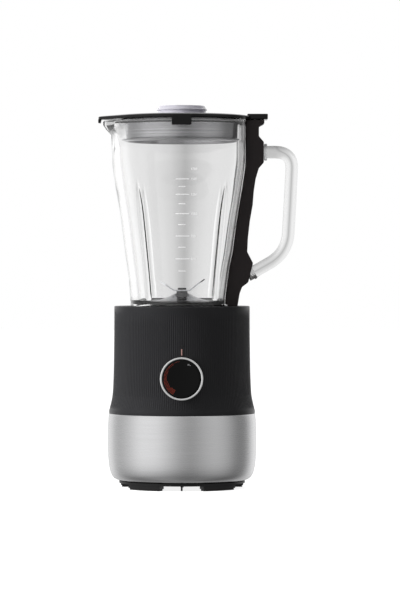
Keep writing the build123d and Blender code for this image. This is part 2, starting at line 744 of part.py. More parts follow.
def measuring_cap():
    """Cup turned upside down in the lid's hole: a flange rests on the lid and a lip is gripped."""
    ceiling = TOTAL_HEIGHT - 2.1
    return turned((0, ceiling), (CAP_R - 2, ceiling), (CAP_R - 2, 396), (CAP_R - 0.2, 396), (CAP_R, LID_TOP),
                  (CAP_FLANGE_R, LID_TOP), (CAP_FLANGE_R, LID_TOP + 1.1), (CAP_R, LID_TOP + 1.1),
                  (CAP_R, CAP_LIP), (CAP_LIP_R, CAP_LIP), (CAP_LIP_R, CAP_LIP + 1.3),
                  (CAP_R + 0.2, CAP_LIP + 2), (CAP_TOP_R, TOTAL_HEIGHT), (0, TOTAL_HEIGHT))


def main():
    os.makedirs("parts", exist_ok=True)
    posts = [at(azimuth, POST_R) for azimuth in POST_AZIMUTHS]
    arms = [at(azimuth, ARM_R) for azimuth in ARM_AZIMUTHS]
    save(steel_band(), "steel_band")
    save(motor_housing(), "motor_housing")
    save(pointer_window(), "pointer_window")
    save(base_plate(), "base_plate")
    save(rubber_feet(), "rubber_feet")
    save(screws(posts, 6.2, 8.6, 30, 3.8, 1.8), "base_screws")
    save(screws(arms, 125.0, 127.0, 156, 4.2, 1.8), "motor_screws")
    save(cord_grommet(), "cord_grommet")
    save(seat_pads(), "seat_pads")
    save(motor_stator(), "motor_stator")
    save(field_coils(), "field_coils")
    save(upper_bracket(), "upper_bracket")
    save(motor_bracket(48, LOWER_BEARING, 51, CORE_BOTTOM), "lower_bracket")
    save(bearing(UPPER_BEARING), "upper_bearing")
    save(bearing(LOWER_BEARING), "lower_bearing")
    save(brush_holders(), "brush_holders")
    save(carbon_brushes(), "carbon_brushes")
    save(motor_isolators(), "motor_isolators")
    save(disc(MOTOR_SHAFT_R, MOTOR_SHAFT_BOTTOM, 180), "motor_shaft")
    save(armature_core(), "armature_core")
    save(armature_windings(), "armature_windings")
    save(commutator(), "commutator")
    save(cooling_fan(), "cooling_fan")
    save(drive_coupling(), "drive_coupling")
    save(control_board(), "control_board")
    save(terminal_block(), "terminal_block")
    save(suppression_capacitor(), "suppression_capacitor")
    save(speed_encoder(), "speed_encoder")
    save(interlock_switch(), "interlock_switch")
    save(plunger_spring(), "plunger_spring")
    save(interlock_plunger(), "interlock_plunger")
    save(knob_cap(), "knob_cap")
    save(knob_ring(), "knob_ring")
    save(knob_shaft(), "knob_shaft")
    save(jug_glass(), "jug_glass")
    save(jug_collar(), "jug_collar")
    save(strip_half(True), "strip_front")
    save(strip_half(False), "strip_rear")
    save(strip_screws(), "strip_screws")
    save(interlock_rod(), "interlock_rod")
    save(rod_spring(), "rod_spring")
    save(blade_holder(), "blade_holder")
    save(blade_dome(), "blade_dome")
    save(blade_seal(), "blade_seal")
    save(bearing_bush(), "bearing_bush")
    save(blade_shaft(), "blade_shaft")
    save(blade_pair((25.3, 26.1), (231.0, 234.2), 221.1, 180, 12), "upper_blades")
    save(blade_pair((24, 24), (212.8, 212.8), 219.5, 90, 12), "lower_blades")
    save(blade_washer(), "blade_washer")
    save(blade_nut(), "blade_nut")
    save(driven_coupling(), "driven_coupling")
    save(lid_cover(), "lid_cover")
    save(lid_plug(), "lid_plug")
    save(lid_seal(), "lid_seal")
    save(measuring_cap(), "measuring_cap")


main()
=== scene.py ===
"""Looks of a countertop blender: every visible surface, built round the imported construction."""
import math

import bmesh
import bpy
from mathutils import Matrix, Vector


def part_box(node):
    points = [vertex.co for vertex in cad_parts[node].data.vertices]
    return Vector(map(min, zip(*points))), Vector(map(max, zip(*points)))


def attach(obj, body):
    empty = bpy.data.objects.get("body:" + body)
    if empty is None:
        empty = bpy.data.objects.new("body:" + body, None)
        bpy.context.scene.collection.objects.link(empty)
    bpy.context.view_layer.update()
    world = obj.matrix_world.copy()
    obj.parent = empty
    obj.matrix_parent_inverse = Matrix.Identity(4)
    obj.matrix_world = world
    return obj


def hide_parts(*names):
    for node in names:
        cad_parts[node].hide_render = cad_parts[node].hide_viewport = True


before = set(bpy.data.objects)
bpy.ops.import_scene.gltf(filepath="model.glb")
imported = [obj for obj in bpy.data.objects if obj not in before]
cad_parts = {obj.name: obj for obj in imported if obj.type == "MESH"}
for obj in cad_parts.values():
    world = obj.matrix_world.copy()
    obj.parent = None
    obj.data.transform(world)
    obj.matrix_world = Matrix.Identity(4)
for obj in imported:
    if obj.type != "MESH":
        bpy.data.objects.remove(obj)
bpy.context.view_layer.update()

MM = 0.001
FULL_TURN = 2 * math.pi


# ---- places and sizes from the construction, in millimetres ---------------------------------------
def span(node):
    """Lowest and highest corner of a node, in millimetres."""
    low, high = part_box(node)
    return low / MM, high / MM


GLASS_HIGH = span("jug_glass")[1]
RING_LOW, RING_HIGH = span("knob_ring")
CAP_LOW, CAP_HIGH = span("measuring_cap")
LID_LOW, LID_HIGH = span("lid_cover")
STRIP_LOW, STRIP_HIGH = span("strip_front")

BAND_TOP = span("steel_band")[1].z
HOUSING_TOP = span("motor_housing")[1].z
RIM = GLASS_HIGH.z
BODY_R = GLASS_HIGH.y
KNOB_Z = (RING_LOW.z + RING_HIGH.z) / 2
KNOB_R = (RING_HIGH.x - RING_LOW.x) / 2


# ---- helpers for shapes ----------------------------------------------------------------------------
def rounded(points, radius, steps=4):
    """An open outline with each inner corner replaced by an arc of up to that radius."""
    outline = [Vector(points[0])]
    for before, here, after in zip(points, points[1:], points[2:]):
        here = Vector(here)
        back = Vector(before) - here
        ahead = Vector(after) - here
        turn = math.pi - back.angle(ahead)
        reach = min(radius * math.tan(turn / 2), back.length * 0.48, ahead.length * 0.48)
        if turn < math.radians(4) or reach < 1e-4:
            outline.append(here)
            continue
        start = here + back.normalized() * reach
        end = here + ahead.normalized() * reach
        for step in range(steps + 1):
            t = step / steps
            outline.append(start * (1 - t) ** 2 + here * 2 * t * (1 - t) + end * t ** 2)
    outline.append(Vector(points[-1]))
    return outline


def flowing(points, per_span=5):
    """A smooth curve through the points."""
    points = [Vector(p) for p in points]
    ends = [points[0] * 2 - points[1], *points, points[-1] * 2 - points[-2]]
    curve = []
    for a, b, c, d in zip(ends, ends[1:], ends[2:], ends[3:]):
        for step in range(per_span):
            t = step / per_span
            curve.append(0.5 * (b * 2 + (c - a) * t + (a * 2 - b * 5 + c * 4 - d) * t * t
                                + (b * 3 - a - c * 3 + d) * t ** 3))
    curve.append(points[-1])
    return curve


def level(table, z):
    """Value at a height, read between the (value, height) points of an outline."""
    if z <= table[0][1]:
        return table[0][0]
    for (v0, z0), (v1, z1) in zip(table, table[1:]):
        if z <= z1:
            return v0 + (v1 - v0) * (z - z0) / (z1 - z0)
    return table[-1][0]


def ease(value):
    """Smooth step from 0 to 1."""
    value = min(1.0, max(0.0, value))
    return value * value * (3 - 2 * value)


def turned(bm, outline, steps=192):
    """Spins a (radius, height) outline in millimetres about Z."""
    verts = [bm.verts.new((p[0] * MM, 0, p[1] * MM)) for p in outline]
    edges = [bm.edges.new(pair) for pair in zip(verts, verts[1:])]
    bmesh.ops.spin(bm, geom=verts + edges, cent=(0, 0, 0), axis=(0, 0, 1), angle=FULL_TURN,
                   steps=steps, use_merge=True)
    bmesh.ops.remove_doubles(bm, verts=bm.verts, dist=1e-6)


def slab(bm, outline, y0, y1):
    """An outline in the XZ plane, in millimetres, made solid from y0 to y1."""
    face = bm.faces.new([bm.verts.new((x * MM, y0 * MM, z * MM)) for x, z in outline])
    grown = bmesh.ops.extrude_face_region(bm, geom=[face])
    moved = [part for part in grown["geom"] if isinstance(part, bmesh.types.BMVert)]
    bmesh.ops.translate(bm, vec=(0, (y1 - y0) * MM, 0), verts=moved)


def swept(bm, path, half_wide, half_thick):
    """An oval bar along a path in the XZ plane, closed at both ends."""
    rings = []
    last = len(path) - 1
    for index, point in enumerate(path):
        ahead = path[min(index + 1, last)] - path[max(index - 1, 0)]
        along = Vector((ahead[0], 0, ahead[1])).normalized()
        across = Vector((0, 1, 0))
        turn = Matrix((across * half_wide, along.cross(across) * half_thick, along)).transposed()
        place = Matrix.Translation((point[0] * MM, 0, point[1] * MM)) @ (turn * MM).to_4x4()
        made = bmesh.ops.create_circle(bm, segments=40, radius=1, cap_ends=index in (0, last), matrix=place)
        rings.append(made["verts"])
    for low, high in zip(rings, rings[1:]):
        edges = [edge for ring in (low, high) for edge in ring_edges(ring)]
        bmesh.ops.bridge_loops(bm, edges=edges)


def ring_edges(verts):
    """Edges that join the given vertices of one ring."""
    inside = set(verts)
    edges = {edge for vert in verts for edge in vert.link_edges if edge.other_vert(vert) in inside}
    return list(edges)


def piece(bm, name, body, finish, smooth_angle=35, replaced=(), recalc=True):
    """Turns a bmesh into a finished object that rides on a body."""
    if recalc:
        bmesh.ops.recalc_face_normals(bm, faces=bm.faces)
    mesh = bpy.data.meshes.new(name)
    bm.to_mesh(mesh)
    bm.free()
    mesh.shade_smooth()
    mesh.set_sharp_from_angle(angle=math.radians(smooth_angle))
    made = bpy.data.objects.new(name, mesh)
    bpy.context.scene.collection.objects.link(made)
    made.data.materials.append(finish)
    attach(made, body)
    if replaced:
        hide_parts(*replaced)
    return made


def soften(made, width, segments=3, angle=40):
    """Rounds the edges of a piece."""
    bevel = made.modifiers.new("soft_edges", "BEVEL")
    bevel.width = width * MM
    bevel.segments = segments
    bevel.limit_method = "ANGLE"
    bevel.angle_limit = math.radians(angle)
    bevel.harden_normals = False
    return made


# ---- finishes --------------------------------------------------------------------------------------
def colour(code):
    """Linear colour of an sRGB hex code."""
    channels = [int(code[i:i + 2], 16) / 255 for i in (1, 3, 5)]
    return [c / 12.92 if c <= 0.04045 else ((c + 0.055) / 1.055) ** 2.4 for c in channels] + [1.0]


def add_node(tree, kind, settings=None, links=None):
    """A node with its settings, and links given as {input: output socket}."""
    made = tree.nodes.new(kind)
    for key, value in (settings or {}).items():
        if isinstance(key, int) or key in made.inputs:
            made.inputs[key].default_value = value
        else:
            setattr(made, key, value)
    for key, source in (links or {}).items():
        tree.links.new(source, made.inputs[key])
    return made


def new_finish(name, base, roughness, metallic=0.0, **sockets):
    """A material with its shader set; returns the material, its tree and its shader."""
    made = bpy.data.materials.new(name)
    made.use_nodes = True
    shader = made.node_tree.nodes["Principled BSDF"]
    shader.inputs["Base Color"].default_value = colour(base)
    shader.inputs["Roughness"].default_value = roughness
    shader.inputs["Metallic"].default_value = metallic
    for key, value in sockets.items():
        shader.inputs[key.replace("_", " ")].default_value = value
    return made, made.node_tree, shader


def grain(tree, shader, size, bump=0.0, tones=None, stretch=(1, 1, 1), rough=None, detail=3):
    """Noise of one grain size in millimetres that moves colour, roughness and height."""
    place = add_node(tree, "ShaderNodeTexCoord")
    scale = [1 / (size * MM * s) for s in stretch]
    mapped = add_node(tree, "ShaderNodeMapping", {"Scale": scale}, {"Vector": place.outputs["Object"]})
    noise = add_node(tree, "ShaderNodeTexNoise", {"Scale": 1.0, "Detail": detail},
                     {"Vector": mapped.outputs["Vector"]})
    if tones:
        ramp = add_node(tree, "ShaderNodeValToRGB", links={"Fac": noise.outputs["Fac"]})
        ramp.color_ramp.elements[0].position = 0.3
        ramp.color_ramp.elements[1].position = 0.7
        ramp.color_ramp.elements[0].color = colour(tones[0])
        ramp.color_ramp.elements[1].color = colour(tones[1])
        tree.links.new(ramp.outputs["Color"], shader.inputs["Base Color"])
    if rough:
        spread = add_node(tree, "ShaderNodeMapRange",
                          {"From Min": 0.3, "From Max": 0.7, "To Min": rough[0], "To Max": rough[1]},
                          {"Value": noise.outputs["Fac"]})
        tree.links.new(spread.outputs["Result"], shader.inputs["Roughness"])
    if bump:
        relief = add_node(tree, "ShaderNodeBump", {"Strength": 0.6, "Distance": bump * MM},
                          {"Height": noise.outputs["Fac"]})
        tree.links.new(relief.outputs["Normal"], shader.inputs["Normal"])


def moulded(name, base, tones, roughness=0.42, size=0.5, shine=0.5):
    """Solid from a spark-eroded mould: a fine even grain that breaks up the gloss."""
    made, tree, shader = new_finish(name, base, roughness, IOR=1.54, Specular_IOR_Level=shine)
    grain(tree, shader, size, 0.02, tones, rough=(roughness - 0.05, roughness + 0.06))
    return made


def brushed_stainless():
    """Stainless steel brushed round the base: level streaks that blur what it mirrors.

    The scratches are drawn coarser than real ones, 0.2 mm apart, so that they show.
    """
    made, tree, shader = new_finish("brushed_stainless", "#cbcbcc", 0.27, 1.0, Anisotropic=0.3)
    grain(tree, shader, 0.2, 0.0, ("#c6c6c7", "#d0d0d1"), (260, 260, 1), (0.25, 0.29), 2)
    return made


def pressed_glass(name, base):
    """Soda-lime glass, fire polished: no surface of its own, only refraction and a trace of grey."""
    made, _, shader = new_finish(name, base, 0.0, IOR=1.5)
    shader.inputs["Transmission Weight"].default_value = 1.0
    return made


def milky_plastic(name, base, roughness):
    """Clouded clear plastic or silicone: pale, lets a little light through, with a slight orange peel."""
    made, tree, shader = new_finish(name, base, roughness, IOR=1.5)
    shader.inputs["Transmission Weight"].default_value = 0.3
    grain(tree, shader, 3.0, 0.01)
    return made


def drawn_san():
    """Pearl-grey plug plastic with fine level tool lines that catch the light like brushed metal."""
    made, tree, shader = new_finish("smoked_plug_san", "#a4a4a6", 0.17, 0.88, IOR=1.5)
    grain(tree, shader, 0.9, 0.02, ("#929294", "#b4b4b6"), (200, 200, 1), (0.13, 0.22), 2)
    return made


def gloss_abs(name, base, shine=0.5):
    """Polished black ABS: deep and reflective, with a faint waviness from the mould."""
    made, tree, shader = new_finish(name, base, 0.12, IOR=1.54, Specular_IOR_Level=shine)
    grain(tree, shader, 9.0, 0.01, rough=(0.08, 0.15))
    return made


LENS_BOTTOM = 159.5


def light_pipe():
    """Pale red pipe that marks the speed, and a dark lens above it: a warm line with a black tip."""
    made, tree, shader = new_finish("speed_pointer_pipe", "#cfa39a", 0.3)
    place = add_node(tree, "ShaderNodeTexCoord")
    axes = add_node(tree, "ShaderNodeSeparateXYZ", links={"Vector": place.outputs["Object"]})
    upper = add_node(tree, "ShaderNodeMath", {"operation": "GREATER_THAN", 1: LENS_BOTTOM * MM},
                     {0: axes.outputs["Z"]})
    tint = add_node(tree, "ShaderNodeMix", {"data_type": "RGBA", 6: colour("#cfa39a"), 7: colour("#050505")},
                    {"Factor": upper.outputs[0]})
    tree.links.new(tint.outputs[2], shader.inputs["Base Color"])
    return made


def screen_print(name, base, painted_light_strength=0.0):
    """Screen-printed ink: flat and matt; its emission strength is painted light that stands in for the light
    the white ink catches in front of clear glass.
    """
    made, tree, shader = new_finish(name, base, 0.6)
    shader.inputs["Emission Color"].default_value = colour(base)
    # painted light: the ink gives off its own colour as emission, though it is no lamp
    shader.inputs["Emission Strength"].default_value = painted_light_strength
    grain(tree, shader, 0.3, rough=(0.55, 0.65))
    return made


def metal(name, base, roughness, tones, size=0.4, stretch=(1, 1, 1), bump=0.004):
    """Machined or drawn metal: a fine grain that makes its mirror satin."""
    made, tree, shader = new_finish(name, base, roughness, 1.0)
    grain(tree, shader, size, bump, tones, stretch, (roughness - 0.06, roughness + 0.08))
    return made


def rubber(name, base):
    """Moulded rubber: dusty, matt and nearly black."""
    made, tree, shader = new_finish(name, base, 0.75, IOR=1.52)
    grain(tree, shader, 0.8, 0.03, (base, "#2a2a2a"), rough=(0.68, 0.82))
    return made


FINISH = {
    "housing": moulded("ribbed_black_abs", "#2d2d2f", ("#2a2a2c", "#303032"), 0.36, shine=0.13),
    "base": moulded("black_polypropylene", "#0b0b0c", ("#09090a", "#0e0e0f"), 0.5, shine=0.3),
    "steel": brushed_stainless(),
    "glass": pressed_glass("pressed_glass", "#fcfcfc"),
    "handle": pressed_glass("pressed_handle_glass", "#e6e6e6"),
    "plug": drawn_san(),
    "cap": milky_plastic("smoked_cap_san", "#eeecf6", 0.15),
    # white scale ink: emission 0.6 is painted light for the light it catches against the clear glass
    "ink": screen_print("white_jug_ink_painted_light", "#f4f4f4", 0.6),
    "red_ink": screen_print("red_scale_ink", "#a9402c"),
    "grey_ink": screen_print("grey_scale_ink", "#8a8a8c"),
    "lid": gloss_abs("gloss_black_lid_abs", "#060606", 0.25),
    "knob": gloss_abs("gloss_black_knob_abs", "#060606", 0.14),
    "ring": metal("satin_chrome", "#ececec", 0.2, ("#e6e6e6", "#f2f2f2"), 2.0, bump=0.0),
    "strip": moulded("dark_brown_black_abs", "#1c1415", ("#1a1213", "#201718"), 0.45, shine=0.28),
    "blade": metal("ground_blade_steel", "#f2f4f6", 0.34, ("#ecedef", "#f8fafc"), 0.25, (12, 1, 1)),
    "rubber": rubber("black_rubber", "#1c1c1c"),
    # grey silicone for the seals; on the lid its dark grey is also painted shade for the shadow gap under the
    # pale lip
    "seal": rubber("grey_silicone_and_painted_gap_shade", "#3c3c3e"),
    # pale lip: its pale colour is painted light for the light band the glass rim shows above the seal
    "pale_lip_painted_light": milky_plastic("milky_silicone_painted_light", "#e2e2e2", 0.4),
    "cup": metal("satin_steel_cup", "#a4a4a6", 0.3, ("#9a9a9c", "#aeaeb0"), 0.5, (30, 30, 1), 0.0),
    "zinc": metal("zinc_plated_steel", "#b8bcc0", 0.3, ("#a8acb0", "#c8ccd0")),
    "core": metal("electrical_sheet_steel", "#5a5c60", 0.45, ("#4c4e52", "#66686c"), 0.5, (40, 40, 1), 0.02),
    "copper": metal("enamelled_copper_wire", "#b5622e", 0.28, ("#9c4f22", "#c87440"), 0.6, (30, 30, 1), 0.05),
    "aluminium": metal("die_cast_aluminium", "#a9abad", 0.4, ("#999b9d", "#b9bbbd"), 0.8),
    # black oxide for the nut; the lower blades take the same dark finish as painted shade
    "nut": metal("black_oxide_steel_and_painted_shade", "#3a3a3c", 0.3, ("#303032", "#444446")),
    "brass": metal("turned_brass", "#c9a253", 0.28, ("#b9923f", "#d8b468")),
    "carbon": moulded("pressed_carbon", "#17171a", ("#111113", "#1f1f22"), 0.6),
    "board": moulded("green_circuit_board", "#0e4a26", ("#0b3f20", "#13572e"), 0.35, 2.0),
    "white": moulded("white_nylon", "#d8d6cf", ("#cfcdc5", "#e0ded8"), 0.45),
    "blue": moulded("blue_film_capacitor", "#1d3f8c", ("#183777", "#234a9f"), 0.35),
    "coupling": rubber("black_drive_rubber", "#101010"),
    "pointer": light_pipe(),
}

CAD_FINISH = {
    "base_plate": "base", "rubber_feet": "rubber", "base_screws": "zinc", "motor_screws": "zinc",
    "cord_grommet": "rubber", "seat_pads": "rubber", "motor_stator": "core", "field_coils": "copper",
    "upper_bracket": "aluminium", "lower_bracket": "aluminium", "upper_bearing": "zinc",
    "lower_bearing": "zinc", "brush_holders": "brass", "carbon_brushes": "carbon", "motor_isolators": "rubber",
    "control_board": "board", "terminal_block": "white", "suppression_capacitor": "blue",
    "speed_encoder": "base", "interlock_switch": "base", "plunger_spring": "zinc", "motor_shaft": "zinc",
    "armature_core": "core",
    "armature_windings": "copper", "commutator": "brass", "cooling_fan": "white", "drive_coupling": "coupling",
    "knob_shaft": "white", "interlock_plunger": "white", "jug_collar": "base", "strip_screws": "zinc",
    "rod_spring": "zinc", "blade_holder": "base", "blade_seal": "seal", "bearing_bush": "brass",
    # lower_blades: dark black-oxide finish as painted shade, so that they show as dark as the shaded blade
    # unit
    "blade_shaft": "blade", "upper_blades": "blade", "lower_blades": "nut", "blade_washer": "blade",
    "driven_coupling": "coupling", "interlock_rod": "zinc", "pointer_window": "pointer",
}


def dress_cad_nodes():
    """Gives every construction node that stays visible its finish; the lower blades take the dark black-oxide
    one as painted shade.
    """
    for node, finish in CAD_FINISH.items():
        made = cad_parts[node]
        made.data.materials.clear()
        made.data.materials.append(FINISH[finish])


# ---- motor base ------------------------------------------------------------------------------------
RIB_COUNT = 200
RIB_DEPTH = 0.45
RIB_SHAPE = (0.0, 0.35, 1.0, 0.35)
RIB_STEPS = RIB_COUNT * len(RIB_SHAPE)
RIB_BOTTOM = 89.0
RIB_TOP = HOUSING_TOP - 2.6
BAND_R = 83.8
RECESS_R = 68.0
RECESS_FLOOR = 193.0
WELL_R = 51.5
WELL_FLOOR = 176.0
SHAFT_HOLE_R = 12.0
HOUSING_WALL = [(82.3, 84.2), (82.35, 87.0), (81.5, 90.5), (79.8, 97.5), (78.6, 104), (77.9, 112),
                (77.2, 130), (76.8, 151), (76.5, 180), (76.4, 202.5)]


def motor_housing():
    """Black shell with fine upright ribs, a plain lip at the seam and a recess for the jug in its top."""
    outer = flowing(HOUSING_WALL, 3)
    wall = [(79.3, 84.2), *outer]
    crown = rounded([outer[-1], (HOUSING_WALL[-1][0], HOUSING_TOP), (RECESS_R, HOUSING_TOP),
                     (RECESS_R, RECESS_FLOOR), (WELL_R, RECESS_FLOOR), (WELL_R, WELL_FLOOR),
                     (SHAFT_HOLE_R, WELL_FLOOR), (SHAFT_HOLE_R, WELL_FLOOR - 3)], 1.2, 3)
    bm = bmesh.new()
    turned(bm, wall + crown[1:], RIB_STEPS)
    for vert in bm.verts:
        sink_rib(vert)
    piece(bm, "ribbed_housing_shell", "base", FINISH["housing"], 50, ["motor_housing"])


def sink_rib(vert):
    """Moves a vertex of the housing's outer wall in, if it lies between two ribs."""
    radius = math.hypot(vert.co.x, vert.co.y) / MM
    height = vert.co.z / MM
    if radius < RECESS_R + 6 or not RIB_BOTTOM < height < RIB_TOP:
        return
    step = round(math.atan2(vert.co.y, vert.co.x) / FULL_TURN * RIB_STEPS) % len(RIB_SHAPE)
    fade = ease((height - RIB_BOTTOM) / 3) * ease((RIB_TOP - height) / 2)
    factor = 1 - RIB_DEPTH * RIB_SHAPE[step] * fade / radius
    vert.co.x *= factor
    vert.co.y *= factor


def steel_band():
    """Brushed steel wrap with a tight radius into its open bottom."""
    wall = flowing([(70.5, 9.0), (75.2, 10.2), (78.9, 13.6), (81.3, 19.0), (83.0, 28.0), (BAND_R, 42.0),
                    (BAND_R, 68.0), (83.3, 78.0), (82.7, BAND_TOP - 0.7)], 5)
    bm = bmesh.new()
    turned(bm, [(66.0, 10.4), (66.0, 9.0), *wall, (82.3, BAND_TOP), (80.9, BAND_TOP), (80.9, 70.0)], 256)
    piece(bm, "steel_band_wrap", "base", FINISH["steel"], 40, ["steel_band"])


# ---- knob ------------------------------------------------------------------------------------------
PRINT_R = 19.2
PRINT_START = 98
PRINT_SWEEP = 142
PULSE_MARKS = ((64, 17.4, 1.1), (57, 17.4, 0.6))


def turned_on_front(bm, outline, steps):
    """Spins a (radius, distance towards the front) outline about the knob's axis."""
    turned(bm, outline, steps)
    place = Matrix.Translation((0, 0, KNOB_Z * MM)) @ Matrix.Rotation(math.pi / 2, 4, "X")
    bmesh.ops.transform(bm, matrix=place, verts=bm.verts)


def knob():
    """Gloss black face set into a satin ring."""
    front = -RING_LOW.y
    back = -RING_HIGH.y
    face_r = KNOB_R - 2.3
    bm = bmesh.new()
    turned_on_front(bm, rounded([(4, back), (KNOB_R - 0.5, back), (KNOB_R, back + 1.5), (KNOB_R, front),
                                 (face_r + 0.2, front), (face_r, front - 2.6), (4, front - 2.6)], 0.7, 4), 180)
    piece(bm, "knob_ring_turned", "knob", FINISH["ring"], 40, ["knob_ring"])
    bm = bmesh.new()
    dish = [(0.0, front - 0.9), (7, front - 0.85), (14, front - 0.65), (19, front - 0.4)]
    turned_on_front(bm, rounded([*dish, (face_r - 0.15, front - 0.6), (face_r - 0.15, front - 2.7),
                                 (0, front - 2.7)], 0.4, 3), 128)
    piece(bm, "knob_face", "knob", FINISH["knob"], 40, ["knob_cap"])
    knob_print(front)


def knob_print(front):
    """Red dots that spread into a wedge as the speed rises, and a grey pulse mark on the other side."""
    bm = bmesh.new()
    for step in range(33):
        share = step / 32
        for row in range(1 + round(4 * share)):
            dot(bm, PRINT_START + PRINT_SWEEP * share, PRINT_R - 1.15 * row, 0.3 + 0.1 * share, front)
    piece(bm, "knob_speed_print", "knob", FINISH["red_ink"], 35, recalc=False)
    bm = bmesh.new()
    for azimuth, radius, size in PULSE_MARKS:
        dot(bm, azimuth, radius, size, front)
    piece(bm, "knob_pulse_print", "knob", FINISH["grey_ink"], 35, recalc=False)


def dot(bm, azimuth, radius, size, front):
    """A printed dot on the knob's face."""
    angle = math.radians(azimuth)
    depth = front - 0.9 + 0.5 * (radius / 19) ** 2 + 0.05
    place = Vector((radius * math.cos(angle), -depth, KNOB_Z + radius * math.sin(angle))) * MM
    bmesh.ops.create_circle(bm, cap_ends=True, segments=10, radius=size * MM,
                            matrix=Matrix.Translation(place) @ Matrix.Rotation(math.pi / 2, 4, "X"))


# ---- jug -------------------------------------------------------------------------------------------
WALL_OUT = [(58.6, 216), (59.4, 226), (60.6, 240), (65.2, 272), (70.2, 312), (75.4, 342), (78.2, 362),
            (78.8, 380)]
WALL_IN = [(48.8, 217), (50.2, 228), (52.3, 245), (56.2, 275), (60.2, 303), (63.4, 325), (66.0, 345),
           (69.2, 366), (70.0, 382)]
FLAT = [(48.0, 190), (48.0, 205), (48.6, 216), (53.2, 250), (56.7, 266), (61.2, 300), (64.4, 320),
        (67.9, 340), (71.2, 364), (71.2, 420)]
FLAT_WALL = 5.5
MOUTH_R = 70.0
NECK_R = 36.5
NECK_OUTER = 41.0
NECK_BOTTOM = 197.0
FOOT_STEP = 205.0
LUG_BOTTOM = 195.0
LUG_HALF_ANGLE = 16
CORNERS = (45, 135, 225, 315)
RIDGE_TOP = 346.0
RIDGE_WIDE = 8.0
RIDGE_HIGH = 1.15
SPOUT_START = 395.0
SPOUT_OUT = 89.0
SPOUT_IN = 84.0


def away(angle, azimuth):
    """Degrees between two directions."""
    return abs((angle - azimuth + 180) % 360 - 180)


def spout_radius(angle, radius, tip, tip_r):
    """Radius of a round outline drawn out to a rounded tip towards -X."""
    centre = tip - tip_r
    phi = math.radians(away(angle, 180))
    tangent = math.acos(min(1.0, (radius - tip_r) / centre))
    if phi >= tangent:
        return radius
    touch = math.atan2(tip_r * math.sin(tangent), centre + tip_r * math.cos(tangent))
    if phi > touch:
        return radius / math.cos(tangent - phi)
    return centre * math.cos(phi) + math.sqrt(max(0.0, tip_r ** 2 - (centre * math.sin(phi)) ** 2))


def ridge_height(angle, height, radius):
    """How far a pressed ridge stands off the inner wall there."""
    if height > RIDGE_TOP:
        return 0.0
    taper = ease((RIDGE_TOP - height) / 40) ** 0.5
    off = min(away(angle, azimuth) for azimuth in CORNERS)
    across = math.radians(off) * radius / (RIDGE_WIDE / 2 * (0.25 + 0.75 * taper))
    if across >= 1:
        return 0.0
    return RIDGE_HIGH * taper * math.sqrt(1 - across * across)


FLAT_BLEND = 1.2


def soft_limit(value, limit):
    """The value, held below a limit with a rounded corner."""
    if value < limit - FLAT_BLEND:
        return value
    if value > limit + FLAT_BLEND:
        return limit
    return limit - (limit + FLAT_BLEND - value) ** 2 / (4 * FLAT_BLEND)


def jug_glass():
    """Thick pressed glass: foot with lugs, fluted body, flat for the strip and a drawn spout."""
    outside = flowing(WALL_OUT, 5)
    inside = flowing(WALL_IN, 5)
    foot = rounded([(NECK_R, 204), (NECK_R, NECK_BOTTOM), (NECK_OUTER, NECK_BOTTOM), (NECK_OUTER, FOOT_STEP),
                    (51, FOOT_STEP), (51, LUG_BOTTOM), (58, LUG_BOTTOM), (58, FOOT_STEP + 1), WALL_OUT[0]],
                   1.5, 3)
    rim = rounded([(BODY_R, 380), (BODY_R, 398), (BODY_R, 404), (BODY_R, 409), (BODY_R, RIM), (MOUTH_R, RIM),
                   (MOUTH_R, 409), (MOUTH_R, 404), (MOUTH_R, 398), (MOUTH_R, 382)], 1.8, 6)
    floor = rounded([inside[0], (48.3, 211.6), (47.0, 209.4), (43.0, 208.8), (NECK_R, 208.6), (NECK_R, 204)],
                    1.2, 4)
    outline = foot[:-1] + outside[:-1] + rim[:-1] + inside[::-1][:-1] + floor
    bm = bmesh.new()
    turned(bm, outline, 480)
    for vert in bm.verts:
        shape_jug_vertex(vert)
    piece(bm, "pressed_glass_jug", "jug", FINISH["glass"], 50, ["jug_glass"])


def shape_jug_vertex(vert):
    """Moves a vertex of the turned jug: gaps between the lugs, ridges, spout and the flat for the strip."""
    radius = math.hypot(vert.co.x, vert.co.y) / MM
    height = vert.co.z / MM
    angle = math.degrees(math.atan2(vert.co.y, vert.co.x)) % 360
    if height < FOOT_STEP and radius > NECK_OUTER + 5:
        if min(away(angle, azimuth) for azimuth in CORNERS) > LUG_HALF_ANGLE:
            vert.co.z = FOOT_STEP * MM
        return
    outer_r = level(WALL_OUT, height)
    inner_r = level(WALL_IN, height)
    outer_side = radius > (outer_r + inner_r) / 2
    if height > 212 and not outer_side:
        radius -= ridge_height(angle, height, radius)
    if height > SPOUT_START:
        drawn = ease((height - SPOUT_START) / (RIM - 4 - SPOUT_START))
        reach = outer_r if outer_side else inner_r
        tip = (SPOUT_OUT if outer_side else SPOUT_IN) - reach
        wide = spout_radius(angle, reach, reach + max(0.01, tip * drawn), 11.0 if outer_side else 7.0)
        radius += wide - reach
    x = radius * math.cos(math.radians(angle))
    y = radius * math.sin(math.radians(angle))
    if height > 206:
        limit = level(FLAT, height) - (0 if outer_side else FLAT_WALL)
        x = soft_limit(x, limit)
    vert.co.x = x * MM
    vert.co.y = y * MM


HANDLE_TOP = [(84.0, 378.6), (124.8, 378.6), (121.4, 312.0)]
HANDLE_LOW = [(121.4, 312.0), (118.6, 265.0), (74.0, 239.4)]
COLLAR_TOP = (92.6, 378.6)
COLLAR_LOW = (77.9, 243.2)
COLLAR_THICK = 3.4


